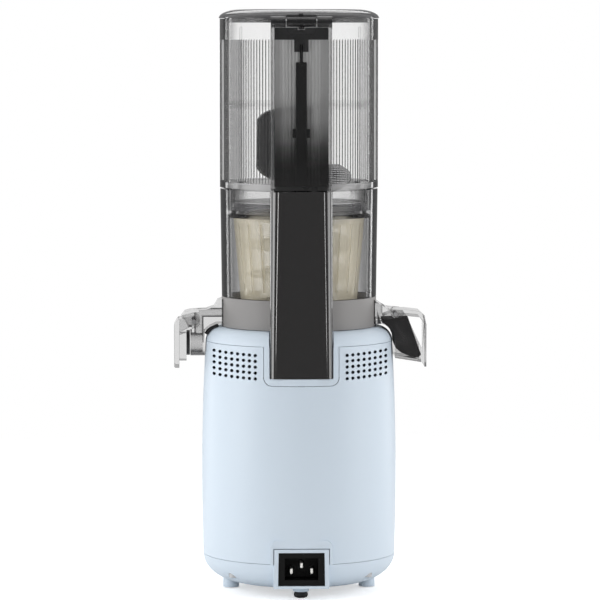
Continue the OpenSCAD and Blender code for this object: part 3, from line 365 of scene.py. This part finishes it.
def as_object(name, shape, material=None):
    """A bmesh as a linked object with recalculated normals."""
    bmesh.ops.remove_doubles(shape, verts=shape.verts, dist=1e-7)
    bmesh.ops.recalc_face_normals(shape, faces=shape.faces)
    mesh = bpy.data.meshes.new(name)
    shape.to_mesh(mesh)
    shape.free()
    if material:
        mesh.materials.append(material)
    piece = bpy.data.objects.new(name, mesh)
    bpy.context.collection.objects.link(piece)
    return piece


def carved(piece, cutters):
    """The piece with each cutter taken out of it, its modifiers applied."""
    for cutter in cutters:
        cut = piece.modifiers.new("cut", "BOOLEAN")
        cut.operation = "DIFFERENCE"
        cut.solver = "EXACT"
        cut.object = cutter
    evaluated = piece.evaluated_get(bpy.context.evaluated_depsgraph_get())
    mesh = bpy.data.meshes.new_from_object(evaluated)
    piece.modifiers.clear()
    piece.data = mesh
    for cutter in cutters:
        bpy.data.objects.remove(cutter)
    return piece


def spun(points, steps=96):
    """A closed profile of (radius, height) turned once round the Z axis."""
    shape = bmesh.new()
    ring = [shape.verts.new((r, 0, z)) for r, z in points]
    edges = [shape.edges.new((a, b)) for a, b in zip(ring, ring[1:])]
    bmesh.ops.spin(shape, geom=ring + edges, cent=(0, 0, 0), axis=(0, 0, 1), angle=2 * math.pi,
                   steps=steps, use_merge=True)
    bmesh.ops.remove_doubles(shape, verts=shape.verts, dist=1e-7)
    return shape


column_low, column_high = (Vector(corner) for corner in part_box("chamber_column"))
foot_corner = 4.7 * mm
top_corner = 7.2 * mm
column_front = 43 * mm
notch_front = 53.2 * mm
deck = 184.9 * mm
band_top, chamber_top = 205.7 * mm, 281 * mm
band_clear, chamber_top_clear = 54.05 * mm, 55.05 * mm
below, above, aside, touching = 0.1, 0.3, 0.1, 1e-6
hollow = ((-19 * mm, 56.2 * mm, 155.8 * mm), (19 * mm, 63 * mm, 278.5 * mm))
rod_exit = ((-4 * mm, 56.8 * mm, 0.15), (4 * mm, 62.4 * mm, above))
column_shape = block((column_low.x, column_front, column_low.z), column_high)
upright = [e for e in column_shape.edges if abs(e.verts[0].co.z - e.verts[1].co.z) > 50 * mm]
rear_edges = [e for e in upright if all(v.co.y > column_high.y - touching for v in e.verts)]
bmesh.ops.bevel(column_shape, geom=rear_edges, offset=foot_corner, segments=10, profile=0.5,
                affect="EDGES", material=-1)
for vertex in column_shape.verts:
    corner = Vector((math.copysign(column_high.x, vertex.co.x), column_high.y, vertex.co.z))
    away = vertex.co - corner
    if vertex.co.z > deck and max(abs(away.x), abs(away.y)) < foot_corner + touching:
        vertex.co = corner + away * top_corner / foot_corner
chamber_space = spun([(0, below), (band_clear, below), (band_clear, band_top),
                      (chamber_top_clear, chamber_top), (chamber_top_clear, above), (0, above)])
column_black = smoked("column_black", (0.012, 0.011, 0.011), [(0, 0.95), (1, 1)], roughness=0.05)
for socket, value in {"Coat Weight": 1.0, "Coat IOR": 1.8, "Coat Roughness": 0.06}.items():
    column_black.node_tree.nodes["Principled BSDF"].inputs[socket].default_value = value
column = carved(as_object("chamber_column_finished", column_shape, column_black), [
    as_object("cut", chamber_space),
    as_object("cut", block((-aside, 0, below), (aside, notch_front, deck))),
    as_object("cut", block(*hollow)),
    as_object("cut", block(*rod_exit))])
smooth_between_edges(column.data, 30)
break_edges(column, 0.5 * mm)
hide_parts("chamber_column")
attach(column, "chamber")

# ---- Interlock rods ----
# Black rods that pass the lid's movement down the column to the switch in the body, and the
# black guide under the hinge.
rod_black = new_material("rod_black", Base_Color=(0.012, 0.012, 0.013, 1))
moulded_grain(rod_black, rough_low=0.3, rough_high=0.4)
for node in ["upper_rod", "lower_rod"]:
    dressed(node, rod_black, bevel=0.4 * mm)
guide_grey = new_material("guide_grey", Base_Color=(0.045, 0.045, 0.047, 1))
moulded_grain(guide_grey, rough_low=0.3, rough_high=0.4)
dressed("rod_guide", guide_grey, bevel=0.3 * mm)

# ---- Juice outlet ----
# A clear duct over the body's shoulder with a nozzle, and the lever on two pins that closes
# it. A black gasket lies on the shoulder.
outlet_steps = [(0, 0.18), (1, 1), (0.2, 0.26), (0.5, 0.85)]
outlet_clear = smoked("outlet_clear", (0.09, 0.086, 0.088), outlet_steps)
for node in ["juice_spout", "juice_cap_lever"]:
    dressed(node, outlet_clear, bevel=0.7 * mm)
for node in ["shoulder_gasket", "juice_cap_gasket"]:
    dressed(node, rubber, bevel=0.3 * mm)

# ---- Pulp outlet ----
# A clear chute with a roof and outer wall that swing up on a pin, and under them the black
# rubber plug, cut from its outline seen from the back.
for node in ["pulp_chute", "pulp_cap"]:
    dressed(node, outlet_clear, bevel=0.5 * mm)
plug_outline = [(57.8, 190.2), (70.6, 190.5), (74, 192.1), (75.5, 192), (85, 165.1),
                (83.4, 163.2), (79.2, 163.1), (70.8, 166.6), (67.6, 169.4), (66.1, 173),
                (65.6, 178), (63.5, 182.6), (60, 186.2), (57.8, 187.2)]
plug_low, plug_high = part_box("pulp_plug")
plug_shape = bmesh.new()
corners = [plug_shape.verts.new((-x * mm, plug_low.y, z * mm)) for x, z in plug_outline]
grown = bmesh.ops.extrude_face_region(plug_shape, geom=[plug_shape.faces.new(corners)])["geom"]
far_corners = [v for v in grown if isinstance(v, bmesh.types.BMVert)]
bmesh.ops.translate(plug_shape, verts=far_corners, vec=(0, plug_high.y - plug_low.y, 0))
plug = as_object("pulp_plug_finished", plug_shape, rubber)
smooth_between_edges(plug.data, 30)
break_edges(plug, 0.4 * mm)
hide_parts("pulp_plug")
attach(plug, body_of("pulp_plug"))

# ---- Hopper ----
# The tall smoked hopper with vertical flutes, twisted into the chamber, and on its back the
# hollow column for the upper rod.
flute_count = 144
flutes_low, flutes_high = 286.5 * mm, 384 * mm
outer_skin = 53.9 * mm
hopper_steps = [(0, 0.05), (1, 0.92), (0.4, 0.09), (0.58, 0.3), (0.66, 0.75)]
hopper_clear = smoked("hopper_clear", (0.06, 0.06, 0.062), hopper_steps)


def painted_flute_shade(material):
    """Painted shade: a dark line in the valley of each flute, standing in for the shade the flutes
    make by refraction, on the outer skin between the flutes' ends.
    """
    place = add_node(material, "ShaderNodeTexCoord")
    split = add_node(material, "ShaderNodeSeparateXYZ")
    turn = add_node(material, "ShaderNodeMath", operation="ARCTAN2")
    count = add_node(material, "ShaderNodeMath", operation="MULTIPLY")
    count.inputs[1].default_value = flute_count / (2 * math.pi)
    part = add_node(material, "ShaderNodeMath", operation="FRACT")
    middle = add_node(material, "ShaderNodeMath", operation="SUBTRACT")
    middle.inputs[1].default_value = 0.5
    away = add_node(material, "ShaderNodeMath", operation="ABSOLUTE")
    wire(material, place, "Object", split, "Vector")
    wire(material, split, "Y", turn, 0)
    wire(material, split, "X", turn, 1)
    wire(material, turn, "Value", count, 0)
    wire(material, count, "Value", part, 0)
    wire(material, part, "Value", middle, 0)
    wire(material, middle, "Value", away, 0)
    line = spread_between(material, away, "Value", 1.0, 0.0, 0.06, 0.13)
    flat = add_node(material, "ShaderNodeVectorMath", operation="MULTIPLY")
    flat.inputs[1].default_value = (1, 1, 0)
    radius = add_node(material, "ShaderNodeVectorMath", operation="LENGTH")
    wire(material, place, "Object", flat, 0)
    wire(material, flat, "Vector", radius, "Vector")
    outside = spread_between(material, radius, "Value", 0.0, 1.0, outer_skin, outer_skin + 0.3 * mm)
    band = height_band(material, flutes_low, flutes_high, 0.5 * mm)
    ended = both_masks(material, line, "Result", band, "Value")
    return both_masks(material, ended, "Value", outside, "Result")


# The flute lines are painted shade: in each valley they raise the opacity and darken the colour.
flute_shade = painted_flute_shade(hopper_clear)
alpha_mask(hopper_clear, flute_shade, "Value", 0.85)
flute_and_edge_shade = add_node(hopper_clear, "ShaderNodeMath", operation="MAXIMUM")
glance = add_node(hopper_clear, "ShaderNodeLayerWeight", Blend=0.5)
edge_shade = spread_between(hopper_clear, glance, "Facing", 0.0, 1.0, 0.35, 0.6)
wire(hopper_clear, flute_shade, "Value", flute_and_edge_shade, 0)
wire(hopper_clear, edge_shade, "Result", flute_and_edge_shade, 1)
# The colour goes from the Mix node's colour A to its colour B, reaching near black where the
# painted flute shade lies and towards the edges.
shaded_tint = add_node(hopper_clear, "ShaderNodeMix", data_type="RGBA")
mix_share, mix_a, mix_b = shaded_tint.inputs[0], shaded_tint.inputs[6], shaded_tint.inputs[7]
mix_a.default_value = (0.5, 0.5, 0.5, 1)
mix_b.default_value = (0.02, 0.02, 0.021, 1)
hopper_shader = hopper_clear.node_tree.nodes["Principled BSDF"]
hopper_clear.node_tree.links.new(flute_and_edge_shade.outputs["Value"], mix_share)
hopper_clear.node_tree.links.new(shaded_tint.outputs[2], hopper_shader.inputs["Base Color"])
step_band = height_band(hopper_clear, 337 * mm, 341 * mm, 0.6 * mm)
# Painted shadow: a more opaque ring at the hopper's foot, just above the chamber, stands in for the
# shadow in the gap there.
gap_shadow_band = height_band(hopper_clear, 281 * mm, 285.5 * mm, 0.8 * mm)
alpha_mask(hopper_clear, step_band, "Value", 0.06)
alpha_mask(hopper_clear, gap_shadow_band, "Value", 0.4)
hopper = dressed("hopper", hopper_clear, degrees=20)

# The column's side walls are darker than the barrel. The wall inside the column pales towards
# the top, and the hinge's knuckles are near black.
column_wall = smoked("column_wall", (0.02, 0.02, 0.021), [(0, 0.6), (1, 0.97)])
column_back = smoked("column_back", (0.2, 0.2, 0.2), [(0, 0.82), (1, 0.95)], roughness=0.2)
place = add_node(column_back, "ShaderNodeTexCoord")
split = add_node(column_back, "ShaderNodeSeparateXYZ")
shades = add_node(column_back, "ShaderNodeValToRGB")
greys = [(0, 0.014), (1, 0.95), (0.12, 0.07), (0.27, 0.32), (0.45, 0.72)]
for index, (position, grey) in enumerate(greys):
    points = shades.color_ramp.elements
    point = points[index] if index < 2 else points.new(position)
    point.position = position
    point.color = (grey, grey, grey, 1)
wire(column_back, place, "Object", split, "Vector")
height = spread_between(column_back, split, "Z", 0.0, 1.0, 284 * mm, 384 * mm)
wire(column_back, height, "Result", shades, "Fac")
wire(column_back, shades, "Color", column_back.node_tree.nodes["Principled BSDF"], "Base Color")
alpha_mask(column_back, height_band(column_back, 0.1, 290 * mm, 60 * mm), "Value", 0.3)
hinge_dark = smoked("hinge_dark", (0.015, 0.015, 0.016), [(0, 0.75), (1, 1)],
                    roughness=0.04, ior=1.6)
for material in (column_wall, column_back, hinge_dark):
    hopper.data.materials.append(material)
wall_slot, back_slot, hinge_slot = 1, 2, 3
column_start, hinge_low = 56 * mm, 392 * mm
wall_inside, wall_outside = 18 * mm, 21 * mm
back_half, back_start, back_reach = 18.3 * mm, 45 * mm, 280 * mm
for face in hopper.data.polygons:
    x, y, z = face.center
    if z > hinge_low and y > column_start:
        face.material_index = hinge_slot
    elif wall_inside < abs(x) < wall_outside and y > column_start:
        face.material_index = wall_slot
    elif (abs(x) < back_half and y > back_start and face.normal.y > 0.3
          and face.center.length > back_reach):
        face.material_index = back_slot

# Two thin ribs stand on the hopper's inner wall, round at the top.
rib_radius, rib_low, rib_high = 0.9 * mm, 285.5 * mm, 393.5 * mm
rib_x, rib_y = 40.9 * mm, 32.6 * mm
for side, name in ((-1, "hopper_rib_right"), (1, "hopper_rib_left")):
    rib_shape = bmesh.new()
    rib_place = Matrix.Translation((side * rib_x, rib_y, (rib_low + rib_high) / 2))
    bmesh.ops.create_cone(rib_shape, cap_ends=True, segments=16, radius1=rib_radius,
                          radius2=rib_radius, depth=rib_high - rib_low, matrix=rib_place)
    top_edges = [e for e in rib_shape.edges if all(v.co.z > rib_high - 1 * mm for v in e.verts)]
    bmesh.ops.bevel(rib_shape, geom=top_edges, offset=0.8 * mm, segments=4, profile=0.5,
                    affect="EDGES", material=-1)
    rib = as_object(name, rib_shape, hopper_clear)
    smooth_between_edges(rib.data, 50)
    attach(rib, "hopper")

panel_clear = smoked("panel_clear", (0.03, 0.03, 0.03), [(0, 0.1), (1, 0.8)])
alpha_mask(panel_clear, height_band(panel_clear, 0.1, 286 * mm, 30 * mm), "Value", 0.5)
dressed("column_panel", panel_clear, bevel=0.4 * mm)

# ---- Lid ----
# A smoked lid with a rounded rim, hinged on the hopper's column. A dish sits in its middle, its
# pale colour a painted highlight for the light patch there, and a dark rib lies over the rod's
# line.
lid_tab_start = 56.6 * mm
lid_tab_slot = 1
lid_clear = smoked("lid_clear", (0.1, 0.1, 0.103), [(0, 0.55), (1, 0.9), (0.6, 0.75)])
lid = dressed("lid", lid_clear, bevel=0.4 * mm)
lid.data.materials.append(hinge_dark)
for face in lid.data.polygons:
    if face.center.y > lid_tab_start:
        face.material_index = lid_tab_slot
# The dish's shape is modelled; its pale grey is a painted highlight, lighter than the smoked lid
# around it.
dish_outline = [(0, 403), (8, 402.6), (14, 401.4), (17.5, 399.6),
                (17.2, 399.2), (13.7, 400.9), (8, 402), (0, 402.4)]
dish_shape = spun([(radius * mm, height * mm) for radius, height in dish_outline], steps=48)
dish_pale_highlight = smoked("dish_pale_highlight", (0.55, 0.55, 0.56), [(0, 0.45), (1, 0.8)], roughness=0.3)
dish = as_object("lid_dish", dish_shape, dish_pale_highlight)
smooth_between_edges(dish.data, 40)
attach(dish, "lid")
rib_shape = block((-1.5 * mm, 50 * mm, 399.5 * mm), (1.5 * mm, 54.5 * mm, 402.6 * mm))
bmesh.ops.bevel(rib_shape, geom=rib_shape.edges[:], offset=0.4 * mm, segments=2, profile=0.5,
                affect="EDGES", material=-1)
lid_rib = as_object("lid_rib", rib_shape, rod_black)
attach(lid_rib, "lid")

# ---- Floor, light and camera ----
# A white floor that keeps the object's shadow, big soft lamps at both sides, two narrow
# strips behind the camera, and the camera behind the juicer.
floor_radius, fade_start, fade_end = 1.0, 0.35, 0.95
floor_shape = bmesh.new()
bmesh.ops.create_circle(floor_shape, cap_ends=True, segments=96, radius=floor_radius)
floor_white = new_material("floor_white", Base_Color=(0.86, 0.86, 0.86, 1), Roughness=0.9,
                           Emission_Color=(1, 1, 1, 1))
floor_shader = floor_white.node_tree.nodes["Principled BSDF"]
seen = add_node(floor_white, "ShaderNodeLightPath")
glow = spread_between(floor_white, seen, "Is Camera Ray", 0.0, 0.5)
wire(floor_white, glow, "Result", floor_shader, "Emission Strength")
place = add_node(floor_white, "ShaderNodeTexCoord")
reach = add_node(floor_white, "ShaderNodeVectorMath", operation="LENGTH")
wire(floor_white, place, "Object", reach, "Vector")
fade = spread_between(floor_white, reach, "Value", 1.0, 0.0, fade_start, fade_end)
wire(floor_white, fade, "Result", floor_shader, "Alpha")
floor = as_object("floor", floor_shape, floor_white)

# The studio is white straight behind the juicer, with a dark ring round that, which gives the
# clear and black parts dark edges. Its sides are white, and it is dim behind the camera.
world = bpy.data.worlds.new("studio")
bpy.context.scene.world = world
world.use_nodes = True
studio = world.node_tree.nodes["Background"]
studio.inputs["Color"].default_value = (1, 1, 1, 1)
direction = add_node(world, "ShaderNodeTexCoord")
axes = add_node(world, "ShaderNodeSeparateXYZ")
wire(world, direction, "Generated", axes, "Vector")
around = spread_between(world, axes, "Y", 0.0, 1.0, -1.0, 1.0)
levels = add_node(world, "ShaderNodeValToRGB")
studio_steps = [(0, 1.0), (1, 0.12), (0.006, 1.0), (0.008, 0.1), (0.12, 0.1), (0.17, 1.0),
                (0.47, 1.0), (0.8, 0.12)]
for index, (position, level) in enumerate(studio_steps):
    points = levels.color_ramp.elements
    point = points[index] if index < 2 else points.new(position)
    point.position = position
    point.color = (level, level, level, 1)
wire(world, around, "Result", levels, "Fac")
path = add_node(world, "ShaderNodeLightPath")
shine = add_node(world, "ShaderNodeMath", operation="MULTIPLY")
shine.inputs[1].default_value = 0.2
wire(world, path, "Is Glossy Ray", shine, 0)
brightest = shine
for source, output in [(levels, "Color"), (path, "Is Camera Ray"), (path, "Is Transmission Ray")]:
    brighter = add_node(world, "ShaderNodeMath", operation="MAXIMUM")
    wire(world, brightest, "Value", brighter, 0)
    wire(world, source, output, brighter, 1)
    brightest = brighter
wire(world, brightest, "Value", studio, "Strength")


def soft_lamp(name, place, target, size, power):
    """A rectangular lamp that faces its target, its size in metres and its power in watts."""
    data = bpy.data.lights.new(name, "AREA")
    data.shape = "RECTANGLE"
    data.size = size[0]
    data.size_y = size[1]
    data.energy = power
    lamp = bpy.data.objects.new(name, data)
    lamp.location = place
    lamp.rotation_euler = (Vector(target) - Vector(place)).to_track_quat("-Z", "Y").to_euler()
    bpy.context.collection.objects.link(lamp)


soft_lamp("left_box", (1.5, 0.5, 0.5), (0, 0, 0.2), (0.9, 1.4), 11)
soft_lamp("right_box", (-1.5, 0.5, 0.5), (0, 0, 0.2), (0.9, 1.4), 8)
soft_lamp("left_strip", (0.78, 1.9, 0.5), (0, 0, 0.5), (0.24, 1.0), 4.0)
soft_lamp("right_strip", (-0.78, 1.9, 0.5), (0, 0, 0.5), (0.24, 1.0), 3.2)
soft_lamp("left_rim", (1.13, -0.98, 0.4), (0, 0, 0.4), (0.16, 0.9), 2.4)
soft_lamp("right_rim", (-1.13, -0.98, 0.4), (0, 0, 0.4), (0.16, 0.9), 2.4)
soft_lamp("top_box", (0, 0.3, 1.7), (0, 0, 0.2), (1.2, 1.2), 5)
soft_lamp("front_box", (0, -1.4, 1.3), (0, 0, 0.2), (1.0, 0.8), 6)

# The camera's place and lens put the seams, the rims and the inlet where the photograph has
# them in its frame of 600 pixels.
camera_distance = 2.59
camera_elevation = math.radians(4.435)
camera_turn = math.radians(1.6)
target_height = 0.2025
axis_pixel = 298.9
frame_pixels = 600
focal_pixels = 3700
camera_data = bpy.data.cameras.new("camera")
camera_data.sensor_width = 36
camera_data.lens = 36 * focal_pixels / frame_pixels
camera_data.shift_x = (frame_pixels / 2 - axis_pixel) / frame_pixels
camera = bpy.data.objects.new("camera", camera_data)
aim = Vector((0, 0, target_height))
camera.location = aim + camera_distance * Vector((
    math.sin(camera_turn) * math.cos(camera_elevation),
    math.cos(camera_turn) * math.cos(camera_elevation),
    math.sin(camera_elevation)))
camera.rotation_euler = (aim - camera.location).to_track_quat("-Z", "Y").to_euler()
bpy.context.collection.objects.link(camera)
bpy.context.scene.camera = camera
bpy.context.scene.view_settings.view_transform = "Standard"
bpy.context.scene.cycles.transparent_max_bounces = 24
